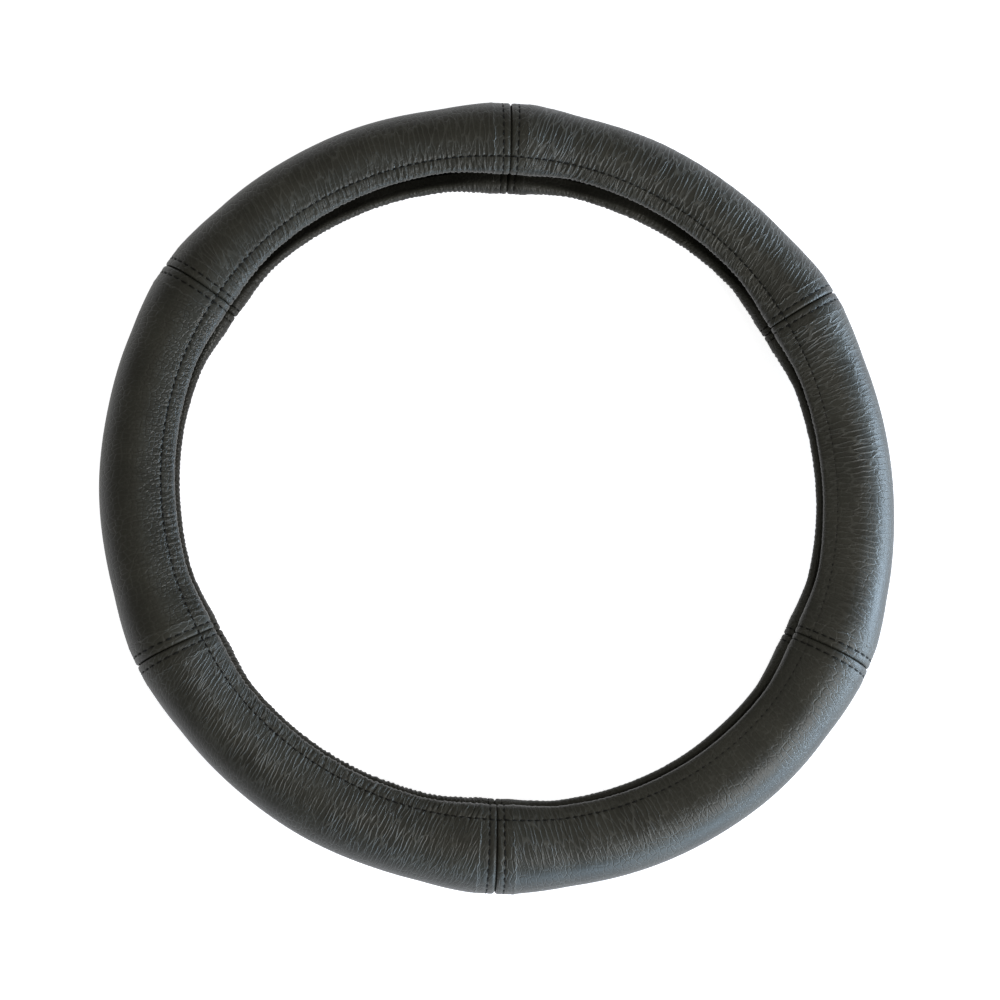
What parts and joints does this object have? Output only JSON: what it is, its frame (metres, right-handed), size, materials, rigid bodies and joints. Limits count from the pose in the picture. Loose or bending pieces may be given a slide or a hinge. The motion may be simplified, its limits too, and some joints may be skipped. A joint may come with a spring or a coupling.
{
  "type": "steering wheel cover",
  "caption": "Sewn leather cover for a car's steering wheel: leather panels, gathered at both lips and joined by topstitched seams, over a C-shaped rubber ring open towards its centre.",
  "frame": {"origin": "on the table under the middle of the ring, which lies face up on its back", "axes": "+Z is the ring's axis, out of its front face; +Y is towards the top of the wheel, +X to the right as it is seen from the front"},
  "size_m": [0.383, 0.3833, 0.0413],
  "materials": {
    "leather": "charcoal grained leather, soft satin",
    "rubber": "black rubber, matt",
    "thread": "black bonded sewing thread"
  },
  "bodies": {
    "root": {"rubber_ring": "rubber", "leather_panel_1": "leather", "leather_panel_2": "leather", "leather_panel_3": "leather", "leather_panel_4": "leather", "leather_panel_5": "leather", "leather_panel_6": "leather", "seam_1_closing_thread": "thread", "seam_1_topstitch_near": "thread", "seam_1_topstitch_far": "thread", "seam_2_closing_thread": "thread", "seam_2_topstitch_near": "thread", "seam_2_topstitch_far": "thread", "seam_3_closing_thread": "thread", "seam_3_topstitch_near": "thread", "seam_3_topstitch_far": "thread", "seam_4_closing_thread": "thread", "seam_4_topstitch_near": "thread", "seam_4_topstitch_far": "thread", "seam_5_closing_thread": "thread", "seam_5_topstitch_near": "thread", "seam_5_topstitch_far": "thread", "seam_6_closing_thread": "thread", "seam_6_topstitch_near": "thread", "seam_6_topstitch_far": "thread", "front_hem_stitching": "thread", "back_hem_stitching": "thread"}
  },
  "joints": []
}
